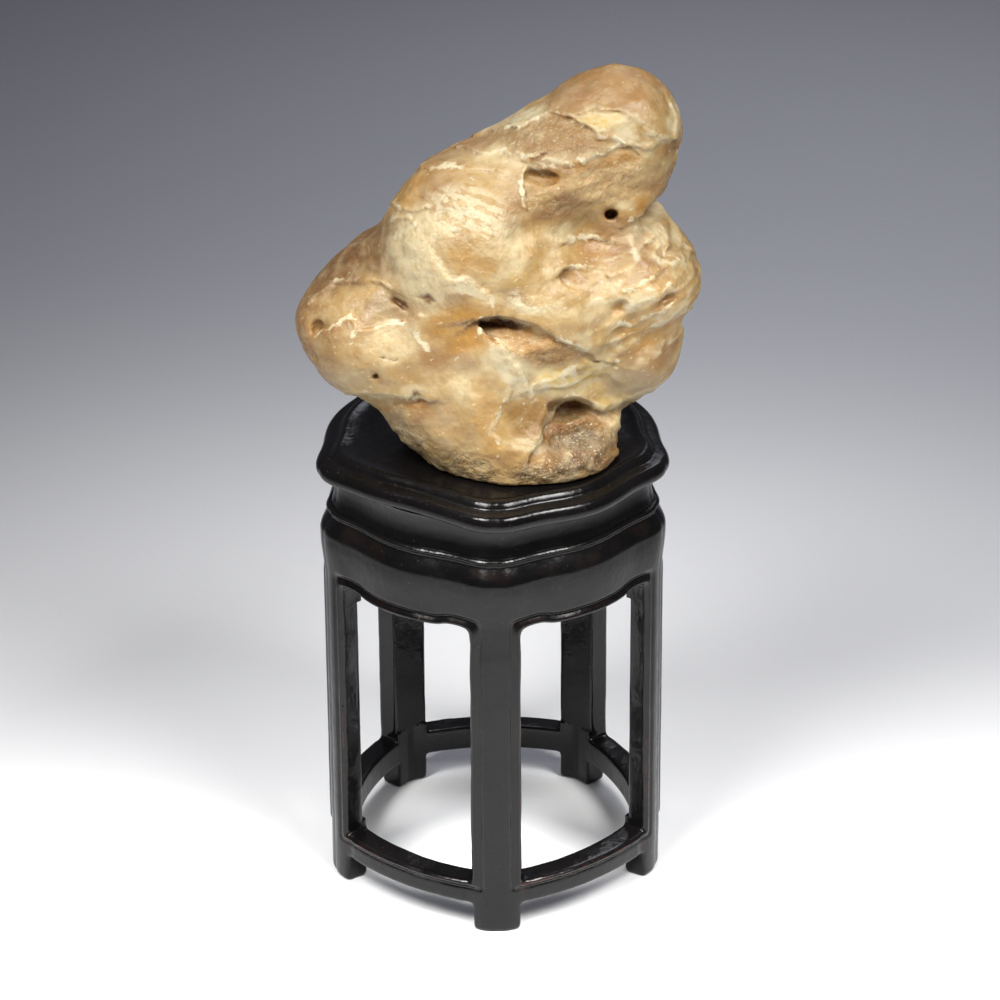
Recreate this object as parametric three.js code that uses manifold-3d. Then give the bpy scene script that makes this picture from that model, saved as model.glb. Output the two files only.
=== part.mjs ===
// A scholar's rock of waxy stone, resting on a waisted hardwood stand with five legs.
// Millimetres, +Z up, front towards -Y. The stand is turned about one upright axis, which is
// the local Z axis of every function below; the group at the end moves the whole object so
// that its origin lies on the floor under the middle of its overall box.

import * as THREE from 'three';
import { mergeVertices } from 'three/addons/utils/BufferGeometryUtils.js';
import Module from 'manifold-3d';

const wasm = await Module();
wasm.setup();

// ---------------------------------------------------------------- driving dimensions

const GAP = 0.3; // clearance between pieces that touch

const LEG_COUNT = 5;
const STAND_HEIGHT = 138; // floor to the slab's top face
const SLAB_BOTTOM = 130.8;
const FRIEZE_TOP = 121.2; // top of the legs' shoulders and of the aprons

// The plan outline: bowed sides, and a small rounded corner over each leg.
const CORNER_RADIUS = 48; // axis to the slab's top edge, over a leg
const SIDE_RADIUS = 45.1; // the same, half-way between two legs
const SIDE_SAG = 2.7; // how much nearer the axis a side would be at the legs
const CORNER_SPREAD = 0.33; // width of a corner, as a share of half a side
const OUTLINE_STEPS = 80; // facets round the outline

// The slab is carved by hand: its left front side is flatter than the others, and its right
// front side is fuller. Angles from the front, in degrees.
const UNEVEN_SIDES = [
  { angle: -33, spread: 17, outwards: -3.4 },
  { angle: 33, spread: 20, outwards: 1.4 },
];

const LEG_RADIUS = 49.8; // axis to a leg's outer face
const SHOULDER = 1; // how far the wall swells out above the legs
const LEG_WIDTH = 14; // across the outer face
const LEG_INNER_WIDTH = 10.5;
const LEG_DEPTH = 7;
const MITRE_START = 95.5; // where the mitre between a leg and its aprons begins
const MITRE_TOP_WIDTH = 4; // width left to the leg at the top of the mitre

const APRON_EDGE = 98.4; // lower edge of an apron along its middle
const APRON_RISE = 1; // the edge is this much higher beside the legs
const APRON_MIDDLE = 13.5; // half the length of the low middle stretch
const APRON_SHOULDER = 17; // from an apron's middle to where the edge is highest
const BAY_HALF = 22.6; // half the clear opening between two legs, along the outline
const BAY_CORNER = 3; // rounding where an opening meets a leg
const APRON_DEPTH = 7.5;

const STRETCHER_BOTTOM = 8.7;
const STRETCHER_TOP = 16.4;
const STRETCHER_RADIUS = 46.4; // axis to its outer face, half-way between two legs
const STRETCHER_FLARE = 3.8; // how much further out that face would be over a leg
const STRETCHER_DEPTH = 6.6;

const FAR = 80; // beyond every piece, for the cutting shapes

// ---------------------------------------------------------------- materials

function hardwood() {
  return new THREE.MeshStandardMaterial({ color: 0x17110f, roughness: 0.34, metalness: 0 });
}

function waxStone() {
  return new THREE.MeshStandardMaterial({ color: 0xc79f68, roughness: 0.42, metalness: 0 });
}

// ---------------------------------------------------------------- closed solids

function solidFrom(geometry) {
  const bare = geometry.index ? geometry.clone() : geometry;
  bare.deleteAttribute('normal');
  bare.deleteAttribute('uv');
  const welded = mergeVertices(bare, 1e-4);
  return new wasm.Manifold(new wasm.Mesh({
    numProp: 3,
    vertProperties: new Float32Array(welded.attributes.position.array),
    triVerts: new Uint32Array(welded.index.array),
  }));
}

function geometryFrom(solid) {
  const mesh = solid.getMesh();
  const geometry = new THREE.BufferGeometry();
  geometry.setAttribute('position', new THREE.BufferAttribute(mesh.vertProperties, 3));
  geometry.setIndex(new THREE.BufferAttribute(mesh.triVerts, 1));
  geometry.computeVertexNormals();
  return geometry;
}

// ---------------------------------------------------------------- the stand's outline

// Radius of the outline at an angle from the front, as a share of its radius over a leg.
function outlineShare(angle) {
  const half = Math.PI / LEG_COUNT;
  const fromLeg = Math.abs(angle - 2 * half * Math.round(angle / (2 * half)));
  const t = fromLeg / half;
  const corner = CORNER_RADIUS - SIDE_RADIUS + SIDE_SAG;
  const radius = SIDE_RADIUS - SIDE_SAG * (1 - t) ** 2 + corner * Math.exp(-((t / CORNER_SPREAD) ** 2));
  return radius / CORNER_RADIUS;
}

function slabShare(angle) {
  let radius = outlineShare(angle) * CORNER_RADIUS;
  for (const side of UNEVEN_SIDES) {
    const away = (THREE.MathUtils.radToDeg(angle) - side.angle) / side.spread;
    radius += side.outwards * Math.exp(-away * away);
  }
  return radius / CORNER_RADIUS;
}

// The same for the stretchers, half-way between two legs: one plain bow from leg to leg.
function stretcherShare(angle) {
  const half = Math.PI / LEG_COUNT;
  const fromLeg = Math.abs(angle - 2 * half * Math.round(angle / (2 * half)));
  return 1 + STRETCHER_FLARE / STRETCHER_RADIUS * (1 - fromLeg / half) ** 2;
}

// A turned shape pushed out to an outline. The profile is [radius where the share is 1, height],
// upwards on the outside, and starts and ends on the axis or on the same point.
function mouldedRing(profile, outline = outlineShare) {
  const points = profile.map(([radius, height]) => new THREE.Vector2(radius, height));
  const turned = new THREE.LatheGeometry(points, OUTLINE_STEPS);
  turned.rotateX(Math.PI / 2);
  const place = turned.attributes.position;
  for (let i = 0; i < place.count; i += 1) {
    const share = outline(Math.atan2(place.getX(i), -place.getY(i)));
    place.setXY(i, place.getX(i) * share, place.getY(i) * share);
  }
  return solidFrom(turned);
}

// A flat shape in the plane of one side of the stand, x along the side and y upwards, as a
// cutter that reaches from the axis out past the side.
function sideCutter(shape) {
  const cutter = new THREE.ExtrudeGeometry(shape, { depth: FAR, bevelEnabled: false, curveSegments: 5 });
  cutter.rotateX(Math.PI / 2);
  return solidFrom(cutter);
}

function turnedBy(solid, turns) {
  return solid.rotate([0, 0, turns * 360 / LEG_COUNT]);
}

// ---------------------------------------------------------------- slab and waist

function topSlab() {
  const rim = CORNER_RADIUS + 3.5;
  return mouldedRing([
    [0, SLAB_BOTTOM],
    [rim - 2.4, SLAB_BOTTOM],
    [rim - 0.6, SLAB_BOTTOM + 0.9],
    [rim, SLAB_BOTTOM + 2.2],
    [rim - 0.3, SLAB_BOTTOM + 3.6],
    [rim - 1.8, SLAB_BOTTOM + 4.9],
    [rim - 4, SLAB_BOTTOM + 5.6],
    [rim - 5.8, SLAB_BOTTOM + 6.5],
    [rim - 7.2, STAND_HEIGHT],
    [0, STAND_HEIGHT],
  ], slabShare);
}

function waist() {
  const bottom = FRIEZE_TOP + GAP;
  const top = SLAB_BOTTOM - GAP;
  const neck = CORNER_RADIUS - 1.6;
  return mouldedRing([
    [0, bottom],
    [neck + 1.9, bottom],
    [neck + 0.7, bottom + 1.6],
    [neck, (bottom + top) / 2],
    [neck + 0.4, top - 2],
    [neck + 1.1, top],
    [0, top],
  ]);
}

// ---------------------------------------------------------------- legs and aprons

// The wall that the legs and aprons are cut from: upright below, swelling to a shoulder, with
// a thin bead along its top edge.
function standWall(bottom, depth) {
  const inner = LEG_RADIUS - depth;
  return mouldedRing([
    [inner, bottom],
    [LEG_RADIUS, bottom],
    [LEG_RADIUS, 103],
    [LEG_RADIUS + 0.5, 108],
    [LEG_RADIUS + SHOULDER, 112.5],
    [LEG_RADIUS + 0.3, 115.8],
    [LEG_RADIUS - 1.4, 118.7],
    [LEG_RADIUS - 1, 120.3],
    [LEG_RADIUS - 1.5, FRIEZE_TOP],
    [inner, FRIEZE_TOP],
    [inner, bottom],
  ]);
}

// A leg seen from in front of it: straight sides, then a mitre to each apron.
function legFront(clearance) {
  const half = LEG_WIDTH / 2 + clearance;
  const mitre = MITRE_TOP_WIDTH / 2 + clearance;
  const shape = new THREE.Shape();
  shape.moveTo(-half, -1);
  shape.lineTo(half, -1);
  shape.lineTo(half, MITRE_START);
  shape.lineTo(mitre, FRIEZE_TOP);
  shape.lineTo(mitre, FRIEZE_TOP + 1);
  shape.lineTo(-mitre, FRIEZE_TOP + 1);
  shape.lineTo(-mitre, FRIEZE_TOP);
  shape.lineTo(-half, MITRE_START);
  shape.closePath();
  return sideCutter(shape);
}

// A leg's section seen from above: it narrows towards its flat inner face.
function legSection(clearance) {
  const inner = LEG_RADIUS - LEG_DEPTH - clearance;
  const innerHalf = LEG_INNER_WIDTH / 2 + clearance;
  const slope = (LEG_WIDTH - LEG_INNER_WIDTH) / 2 / LEG_DEPTH;
  const outerHalf = innerHalf + slope * (FAR - inner);
  const shape = new THREE.Shape();
  shape.moveTo(-outerHalf, -FAR);
  shape.lineTo(outerHalf, -FAR);
  shape.lineTo(innerHalf, -inner);
  shape.lineTo(-innerHalf, -inner);
  shape.closePath();
  return solidFrom(new THREE.ExtrudeGeometry(shape, { depth: FRIEZE_TOP + 1, bevelEnabled: false }));
}

// The space a front leg fills, grown by a clearance.
function legSpace(clearance) {
  return legFront(clearance).intersect(legSection(clearance));
}

function frontLeg() {
  return standWall(0, LEG_DEPTH + 4).intersect(legSpace(0));
}

// The opening between two legs, up to the apron's cusped lower edge.
function openingBelowApron() {
  const high = APRON_EDGE + APRON_RISE;
  const corner = BAY_HALF - BAY_CORNER;
  const shape = new THREE.Shape();
  shape.moveTo(-FAR, 0);
  shape.lineTo(FAR, 0);
  shape.lineTo(FAR, high - BAY_CORNER);
  shape.lineTo(BAY_HALF, high - BAY_CORNER);
  shape.quadraticCurveTo(BAY_HALF, high, corner, high);
  shape.quadraticCurveTo(APRON_SHOULDER, high, APRON_MIDDLE, APRON_EDGE);
  shape.lineTo(-APRON_MIDDLE, APRON_EDGE);
  shape.quadraticCurveTo(-APRON_SHOULDER, high, -corner, high);
  shape.quadraticCurveTo(-BAY_HALF, high, -BAY_HALF, high - BAY_CORNER);
  shape.lineTo(-FAR, high - BAY_CORNER);
  shape.closePath();
  return sideCutter(shape);
}

// One side's share of the stand, as a wedge about the axis, half-way between two legs.
function sideWedge() {
  const half = Math.PI / LEG_COUNT;
  const shape = new THREE.Shape();
  shape.moveTo(0, 0);
  shape.lineTo(-FAR * Math.sin(half), -FAR * Math.cos(half));
  shape.lineTo(FAR * Math.sin(half), -FAR * Math.cos(half));
  shape.closePath();
  return solidFrom(new THREE.ExtrudeGeometry(shape, { depth: STAND_HEIGHT, bevelEnabled: false }));
}

// One side of a ring of the stand, with its middle at the front and a leg at each end.
function sideBetweenLegs(ring) {
  const leg = legSpace(GAP);
  const side = turnedBy(ring, 0.5).intersect(sideWedge());
  return side.subtract(turnedBy(leg, 0.5)).subtract(turnedBy(leg, -0.5));
}

function frontApron() {
  return sideBetweenLegs(standWall(MITRE_START, APRON_DEPTH)).subtract(openingBelowApron());
}

// ---------------------------------------------------------------- stretchers

function frontStretcher() {
  const inner = STRETCHER_RADIUS - STRETCHER_DEPTH;
  const ring = mouldedRing([
    [inner, STRETCHER_BOTTOM],
    [STRETCHER_RADIUS - 0.6, STRETCHER_BOTTOM],
    [STRETCHER_RADIUS, STRETCHER_BOTTOM + 0.8],
    [STRETCHER_RADIUS, STRETCHER_TOP - 1.2],
    [STRETCHER_RADIUS - 0.9, STRETCHER_TOP],
    [inner, STRETCHER_TOP],
    [inner, STRETCHER_BOTTOM],
  ], stretcherShare);
  return sideBetweenLegs(ring);
}

// ---------------------------------------------------------------- the stone

// The stone is a blend of rounded masses less a few hollows. Places are from the middle of its
// foot, across, back and up from the slab; tilt raises the right-hand end of a mass, in degrees.
const STONE_STEPS = 13; // how finely the stone is faceted
const STONE_BLEND = 4; // how softly the masses run together
const STONE_RIGHT = 1; // the stone stands this far right of the stand's axis
const STONE_CORE = [4, -2, 46]; // a point well inside, from which every face can be seen

const MASSES = [
  { name: 'heart', at: [4, -1, 40], size: [35, 33, 30], tilt: 0 },
  { name: 'left belly', at: [-30, -5, 32], size: [26, 24, 18], tilt: -14 },
  { name: 'left slope', at: [-27, 3, 47], size: [25, 23, 13], tilt: 33 },
  { name: 'shoulder', at: [-7, -5, 62], size: [22.5, 26, 24], tilt: 0 },
  { name: 'neck', at: [13, 4, 79], size: [25, 22, 15], tilt: 32 },
  { name: 'head', at: [35, 7, 88], size: [18, 18, 18.5], tilt: 0 },
  { name: 'throat', at: [35, 4, 70], size: [13, 15, 10], tilt: 0 },
  { name: 'right bulge', at: [38, 0, 49], size: [20, 23, 14], tilt: -8 },
  { name: 'lower right bulge', at: [35.5, 2, 26.5], size: [17.5, 22, 14.5], tilt: 4 },
  { name: 'front belly', at: [-8.2, -9, 18.4], size: [24.2, 25, 21.6], tilt: -18 },
  { name: 'base', at: [9.3, -12.5, 4.5], size: [27.2, 25.2, 18], tilt: 0 },
];

const HOLLOWS = [
  { name: 'ledge under the head', at: [22, -27, 75], size: [18, 7, 5], tilt: 14 },
  { name: 'hollow under the long crevice', at: [21, -38, 31], size: [15, 8, 7], tilt: -22 },
  { name: 'cavern above the base', at: [26, -36, 12], size: [12, 10, 5], tilt: 0 },
  { name: 'notch in the right edge', at: [51, 2, 69.5], size: [11.4, 26, 3.2], tilt: 12 },
  { name: 'cleft right of the base', at: [39, -12, 6.4], size: [8.5, 15, 2.6], tilt: 24 },
];
const HOLLOW_BLEND = 1.5;

// Roughly how far a point lies outside an ellipsoid; negative inside.
function beyondEllipsoid(point, { at, size, tilt }) {
  const turn = THREE.MathUtils.degToRad(tilt);
  const across = point.x - at[0];
  const back = point.y - at[1];
  const up = point.z - at[2];
  const long = across * Math.cos(turn) + up * Math.sin(turn);
  const high = up * Math.cos(turn) - across * Math.sin(turn);
  const reach = Math.hypot(long / size[0], back / size[1], high / size[2]);
  const slope = Math.hypot(long / size[0] ** 2, back / size[1] ** 2, high / size[2] ** 2);
  return reach * (reach - 1) / Math.max(slope, 1e-6);
}

function beyondStone(point) {
  let sum = 0;
  for (const mass of MASSES) sum += Math.exp(-beyondEllipsoid(point, mass) / STONE_BLEND);
  let beyond = -STONE_BLEND * Math.log(sum);
  for (const hollow of HOLLOWS) {
    const inside = -beyondEllipsoid(point, hollow);
    beyond = HOLLOW_BLEND * Math.log(Math.exp(beyond / HOLLOW_BLEND) + Math.exp(inside / HOLLOW_BLEND));
  }
  return beyond;
}

// Distance from the core to the stone's skin in one direction, by halving.
function skinDistance(core, direction) {
  let inside = 0;
  let outside = 110;
  const probe = new THREE.Vector3();
  for (let i = 0; i < 24; i += 1) {
    const middle = (inside + outside) / 2;
    probe.copy(core).addScaledVector(direction, middle);
    if (beyondStone(probe) < 0) inside = middle;
    else outside = middle;
  }
  return inside;
}

function scholarsRock() {
  const core = new THREE.Vector3(...STONE_CORE);
  const skin = new THREE.IcosahedronGeometry(1, STONE_STEPS);
  const place = skin.attributes.position;
  const direction = new THREE.Vector3();
  for (let i = 0; i < place.count; i += 1) {
    direction.fromBufferAttribute(place, i).normalize();
    direction.multiplyScalar(skinDistance(core, direction)).add(core);
    place.setXYZ(i, direction.x, direction.y, direction.z);
  }
  const belowSlab = new THREE.BoxGeometry(3 * FAR, 3 * FAR, FAR);
  belowSlab.translate(0, 0, GAP - FAR / 2);
  return solidFrom(skin).subtract(solidFrom(belowSlab)).translate([STONE_RIGHT, 0, STAND_HEIGHT]);
}

// ---------------------------------------------------------------- assembly

const object = new THREE.Group();

function add(name, solid, material) {
  const mesh = new THREE.Mesh(geometryFrom(solid), material);
  mesh.name = name;
  object.add(mesh);
}

add('scholars_rock', scholarsRock(), waxStone());
add('top_slab', topSlab(), hardwood());
add('waist', waist(), hardwood());

const leg = frontLeg();
const apron = frontApron();
const stretcher = frontStretcher();
for (let i = 0; i < LEG_COUNT; i += 1) {
  add(`leg_${i + 1}`, turnedBy(leg, i), hardwood());
  add(`apron_${i + 1}`, turnedBy(apron, i + 0.5), hardwood());
  add(`stretcher_${i + 1}`, turnedBy(stretcher, i + 0.5), hardwood());
}

const middle = new THREE.Box3().setFromObject(object).getCenter(new THREE.Vector3());
object.position.set(-middle.x, -middle.y, 0);

export default object;
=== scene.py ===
import math

import bmesh
import bpy
import numpy as np
from mathutils import Matrix, Vector


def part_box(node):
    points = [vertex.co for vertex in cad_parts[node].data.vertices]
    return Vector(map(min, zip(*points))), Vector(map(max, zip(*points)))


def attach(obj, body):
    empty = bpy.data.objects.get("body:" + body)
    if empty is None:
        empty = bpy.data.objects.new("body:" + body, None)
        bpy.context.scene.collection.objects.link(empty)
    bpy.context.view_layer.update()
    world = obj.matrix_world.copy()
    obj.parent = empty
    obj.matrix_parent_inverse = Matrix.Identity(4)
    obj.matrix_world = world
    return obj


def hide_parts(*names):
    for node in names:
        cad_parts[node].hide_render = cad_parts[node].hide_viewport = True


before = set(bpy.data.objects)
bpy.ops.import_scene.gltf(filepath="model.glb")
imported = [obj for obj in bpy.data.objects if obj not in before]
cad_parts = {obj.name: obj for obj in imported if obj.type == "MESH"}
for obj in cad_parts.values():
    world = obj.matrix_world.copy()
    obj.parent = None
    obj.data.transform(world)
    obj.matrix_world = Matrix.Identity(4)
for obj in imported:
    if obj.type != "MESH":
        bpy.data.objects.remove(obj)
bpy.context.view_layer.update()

MM = 0.001  # shapes are worked out in millimetres and made in metres

# ---- where things are

LEG_COUNT = 5
LEG_RADIUS = 49.8
SHOULDER = 1.0
STAND_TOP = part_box("top_slab")[1].z / MM
SLAB_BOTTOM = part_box("top_slab")[0].z / MM
FRIEZE_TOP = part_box("leg_1")[1].z / MM
STRETCHER_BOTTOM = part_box("stretcher_1")[0].z / MM
STRETCHER_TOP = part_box("stretcher_1")[1].z / MM
APRON_DEPTH = 7.5
LEG_DEPTH = 7.0
STRETCHER_RADIUS = 46.4  # half-way between two legs
STRETCHER_FLARE = 3.8
STRETCHER_DEPTH = 6.6


def stand_axis():
    """The axis, in millimetres: midway across the waist, and behind the front leg's shoulder."""
    low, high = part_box("waist")
    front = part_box("leg_1")[0].y / MM
    return np.array([(low.x + high.x) / 2 / MM, front + LEG_RADIUS + SHOULDER, 0.0])


AXIS = stand_axis()

# ---- surfaces from functions


def smooth_min(a, b, soft):
    """The smaller of two fields, blended where they are within about soft of each other."""
    return -soft * np.logaddexp(-a / soft, -b / soft)


def smooth_max(a, b, soft):
    return soft * np.logaddexp(a / soft, b / soft)


def gradient(field, points, reach):
    """Slope of a field at points, by central differences."""
    steps = np.eye(3) * reach
    return np.stack([(field(points + s) - field(points - s)) / (2 * reach) for s in steps], -1)


def settle(field, points, step, rounds=4):
    """Moves points on to the field's zero surface."""
    for _ in range(rounds):
        slope = gradient(field, points, step * 0.2)
        size = (slope ** 2).sum(-1) + 1e-9
        move = (field(points) / size)[:, None] * slope
        length = np.linalg.norm(move, axis=-1, keepdims=True)
        points = points - move * np.minimum(1.0, 0.6 * step / (length + 1e-9))
    return points


NEAR_BAND = 3.0  # how near the surface, in millimetres, only the full field will do
CORNERS = [(i, j, k) for i in (0, 1) for j in (0, 1) for k in (0, 1)]  # of a grid's cell


def sample_grid(field, near, low, high, step):
    """The field on a grid. Away from the surface the quick field near(points) is enough."""
    axes = [np.arange(a, b + step, step) for a, b in zip(low, high)]
    values = np.empty([len(a) for a in axes], np.float32)
    x, y = np.meshgrid(axes[0], axes[1], indexing="ij")
    for k, z in enumerate(axes[2]):
        points = np.stack([x, y, np.full_like(x, z)], -1).reshape(-1, 3)
        quick = near(points)
        close = np.abs(quick) < NEAR_BAND
        if near is not field and close.any():
            quick[close] = field(points[close])
        values[:, :, k] = quick.reshape(x.shape)
    return values


def at_corner(array, offset):
    """A grid's values at one corner of each of its cells."""
    return array[tuple(slice(o, o + n - 1) for o, n in zip(offset, array.shape))]


def surface_points(values, cells):
    """In each chosen cell, the mean of the places where the surface crosses the cell's edges."""
    where = np.argwhere(cells)
    total = np.zeros((len(where), 3))
    crossings = np.zeros(len(where))
    for a in CORNERS:
        for axis in range(3):
            if a[axis]:
                continue
            b = tuple(o + (n == axis) for n, o in enumerate(a))
            va = at_corner(values, a)[cells]
            vb = at_corner(values, b)[cells]
            cut = (va < 0) != (vb < 0)
            t = np.where(cut, va / np.where(cut, va - vb, 1), 0)
            place = np.array(a, float) + t[:, None] * np.eye(3)[axis]
            total += place * cut[:, None]
            crossings += cut
    return where + total / crossings[:, None]


def surface_quads(inside, index):
    """A quad between the four cells round each grid edge that the surface crosses."""
    quads = []
    for axis in range(3):
        u, v = (axis + 1) % 3, (axis + 2) % 3
        at = np.argwhere(np.diff(inside, axis=axis))
        at = at[(at[:, u] > 0) & (at[:, v] > 0)]
        at = at[(at[:, u] < inside.shape[u] - 1) & (at[:, v] < inside.shape[v] - 1)]
        back_u, back_v = np.eye(3, dtype=int)[u], np.eye(3, dtype=int)[v]
        ring = [at - back_u - back_v, at - back_v, at, at - back_u]
        quad = np.stack([index[tuple(r.T)] for r in ring], -1)
        flip = ~inside[tuple(at.T)]
        quad[flip] = quad[flip][:, ::-1]
        quads.append(quad)
    return np.concatenate(quads)


def surface_of(field, low, high, step, near=None):
    """Corner places and quads of the field's zero surface (surface nets), settled on to it."""
    values = sample_grid(field, near or field, low, high, step)
    inside = values < 0
    count = sum(at_corner(inside, c).astype(np.int8) for c in CORNERS)
    cells = (count > 0) & (count < 8)
    index = np.full(cells.shape, -1, np.int64)
    index[cells] = np.arange(np.count_nonzero(cells))
    points = surface_points(values, cells) * step + np.array(low, float)
    return settle(field, points, step), surface_quads(inside, index)


def add_object(name, data):
    made = bpy.data.objects.new(name, data)
    bpy.context.scene.collection.objects.link(made)
    return made


def mesh_object(name, points, faces):
    """A smooth-shaded object from places in millimetres."""
    mesh = bpy.data.meshes.new(name)
    mesh.from_pydata((points * MM).tolist(), [], faces)
    mesh.shade_smooth()
    return add_object(name, mesh)


# ---- repeatable noise

LATTICE = 64
VALUES = np.random.default_rng(7).uniform(-1, 1, (LATTICE,) * 3).astype(np.float32)


def noise(points, size, shift):
    """Smooth noise between about -1 and 1, with bumps of a size. Each shift gives other bumps."""
    p = points / size + shift
    base = np.floor(p).astype(int)
    t = p - base
    t = t * t * t * (t * (t * 6 - 15) + 10)
    out = 0.0
    for i, j, k in CORNERS:
        weight = ((t[..., 0] if i else 1 - t[..., 0]) * (t[..., 1] if j else 1 - t[..., 1])
                  * (t[..., 2] if k else 1 - t[..., 2]))
        node = (base + (i, j, k)) % LATTICE
        out = out + weight * VALUES[node[..., 0], node[..., 1], node[..., 2]]
    return out


def layered_noise(points, size, layers, shift):
    """Noise with finer and weaker noise added, layer by layer."""
    return sum(noise(points, size / 2 ** n, shift + 11.3 * n) / 2 ** n for n in range(layers))


# ---- the stand's outline

CORNER_RADIUS = 48.0
SIDE_RADIUS = 45.1
SIDE_SAG = 2.7
CORNER_SPREAD = 0.33
# The slab's uneven sides: angle from the front, spread in degrees, how far outwards.
UNEVEN_SIDES = [(-33, 17, -3.4), (33, 20, 1.4)]
HALF_SIDE = math.pi / LEG_COUNT


def from_nearest_leg(angle):
    return angle - 2 * HALF_SIDE * np.round(angle / (2 * HALF_SIDE))


def outline_share(angle):
    """The outline's radius as a share of that over a leg. The angle is from the front."""
    t = np.abs(from_nearest_leg(angle)) / HALF_SIDE
    corner = CORNER_RADIUS - SIDE_RADIUS + SIDE_SAG
    radius = SIDE_RADIUS - SIDE_SAG * (1 - t) ** 2 + corner * np.exp(-(t / CORNER_SPREAD) ** 2)
    return radius / CORNER_RADIUS


def stretcher_share(angle):
    """The stretchers' radius as a share of its least, half-way between two legs."""
    from_leg = np.abs(from_nearest_leg(angle))
    return 1 + STRETCHER_FLARE / STRETCHER_RADIUS * (1 - from_leg / HALF_SIDE) ** 2


def slab_share(angle):
    """The same for the slab, with its uneven sides."""
    radius = outline_share(angle) * CORNER_RADIUS
    turn = np.degrees((angle + math.pi) % (2 * math.pi) - math.pi)
    for middle, spread, outwards in UNEVEN_SIDES:
        radius = radius + outwards * np.exp(-((turn - middle) / spread) ** 2)
    return radius / CORNER_RADIUS


def moulded(name, profile, outline=outline_share, around=400):
    """A closed turned shape that follows an outline. The profile runs from axis to axis."""
    profile = np.array(profile)
    angle = np.arange(around) * 2 * math.pi / around
    share = outline(angle)
    ring = profile[1:-1]
    radius = ring[:, 0][:, None] * share[None, :]
    x = radius * np.sin(angle)
    y = -radius * np.cos(angle)
    z = np.broadcast_to(ring[:, 1][:, None], x.shape)
    points = np.stack([x, y, z], -1).reshape(-1, 3)
    ends = np.array([[0, 0, profile[0][1]], [0, 0, profile[-1][1]]])
    points = np.concatenate([points, ends]) + AXIS
    rows = len(ring)
    i, j = (n.ravel() for n in np.meshgrid(np.arange(rows - 1), np.arange(around), indexing="ij"))
    after = (j + 1) % around
    quads = np.stack([i * around + j, i * around + after, (i + 1) * around + after, (i + 1) * around + j], -1)
    faces = quads.tolist()
    for j in range(around):
        after = (j + 1) % around
        faces.append([rows * around, after, j])
        faces.append([rows * around + 1, (rows - 1) * around + j, (rows - 1) * around + after])
    return mesh_object(name, points, faces)


def bend(points, rounds=3):
    """A profile with its corners cut again and again, so that it curves; its ends stay."""
    points = np.array(points, float)
    for _ in range(rounds):
        a = points[:-1] * 0.75 + points[1:] * 0.25
        b = points[:-1] * 0.25 + points[1:] * 0.75
        points = np.concatenate([points[:1], np.stack([a, b], 1).reshape(-1, 2), points[-1:]])
    return points


def line_rings(start, end, count):
    """Evenly spaced profile points along a straight stretch, without its ends."""
    t = np.linspace(0, 1, count + 2)[1:-1, None]
    return np.array(start) * (1 - t) + np.array(end) * t


def top_slab():
    """A flat board with a rolled edge and a raised lip round its top."""
    low, top, rim = SLAB_BOTTOM, STAND_TOP, CORNER_RADIUS + 3.5
    edge = bend([
        [rim - 3.6, low], [rim - 1.9, low], [rim - 0.4, low + 0.4], [rim + 0.15, low + 1.7],
        [rim + 0.1, low + 3.3], [rim - 0.9, low + 4.9], [rim - 2.8, low + 5.2], [rim - 4.4, low + 5.3],
        [rim - 5.0, low + 6.5], [rim - 6.0, top + 0.2], [rim - 7.4, top + 0.2], [rim - 8.8, top - 0.25],
    ])
    under = line_rings([0, low], edge[0], 6)
    over = line_rings(edge[-1], [0, top - 0.25], 14)
    profile = np.concatenate([[[0, low]], under, edge, over, [[0, top - 0.25]]])
    return moulded("top_slab_wood", profile, slab_share)


def waist():
    """The neck under the slab, a little hollow."""
    low, top, neck = FRIEZE_TOP, SLAB_BOTTOM + 0.2, CORNER_RADIUS - 1.6
    side = bend([
        [neck + 1.0, low], [neck + 0.8, low + 0.8], [neck + 0.3, low + 2.4], [neck + 0.1, low + 4.4],
        [neck + 0.1, low + 6.2], [neck + 0.5, top - 1.0], [neck + 0.9, top],
    ])
    under = line_rings([0, low], side[0], 4)
    over = line_rings(side[-1], [0, top], 4)
    return moulded("waist_wood", np.concatenate([[[0, low]], under, side, over, [[0, top]]]))


# ---- legs, aprons and stretchers

APRON_EDGE = 98.4
APRON_RISE = 1.1
LEG_HALF = 7.0
ARC_RADIUS = 46.0  # turns an angle round the stand into a length along its side
MITRE_START = 95.5
MITRE_TOP_HALF = 2.0
MIDDLE_HEIGHT = 60.0  # parts the aprons' height from the stretchers'
BAY_CORNER = 1.1  # how softly an opening's corners are rounded
FRAME_STEP = 0.55  # the frame's mesh size


def wall_radius(z):
    """Outer face over a leg: upright, then a shoulder, a groove and a thin bead at the top."""
    up = np.clip((z - 99.0) / 13.0, 0, 1)
    shoulder = SHOULDER * up * up * (3 - 2 * up)
    over = np.clip((z - 113.6) / 5.1, 0, 1)
    fall = 2.5 * over * over * (1.6 - 0.6 * over)
    bead = 0.65 * np.exp(-((z - 120.3) / 0.62) ** 2)
    return LEG_RADIUS + shoulder - fall + bead


def apron_edge(s):
    """Height of an apron's lower edge, by the length along the side from the leg."""
    wave = 1 / (1 + np.exp((s - 15.0) / 0.9))
    return APRON_EDGE + APRON_RISE * wave


def turned(points, turn):
    """Points turned back by an angle round the upright axis."""
    c, s = math.cos(turn), math.sin(turn)
    return np.stack([c * points[..., 0] + s * points[..., 1], c * points[..., 1] - s * points[..., 0],
                     points[..., 2]], -1)


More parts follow.
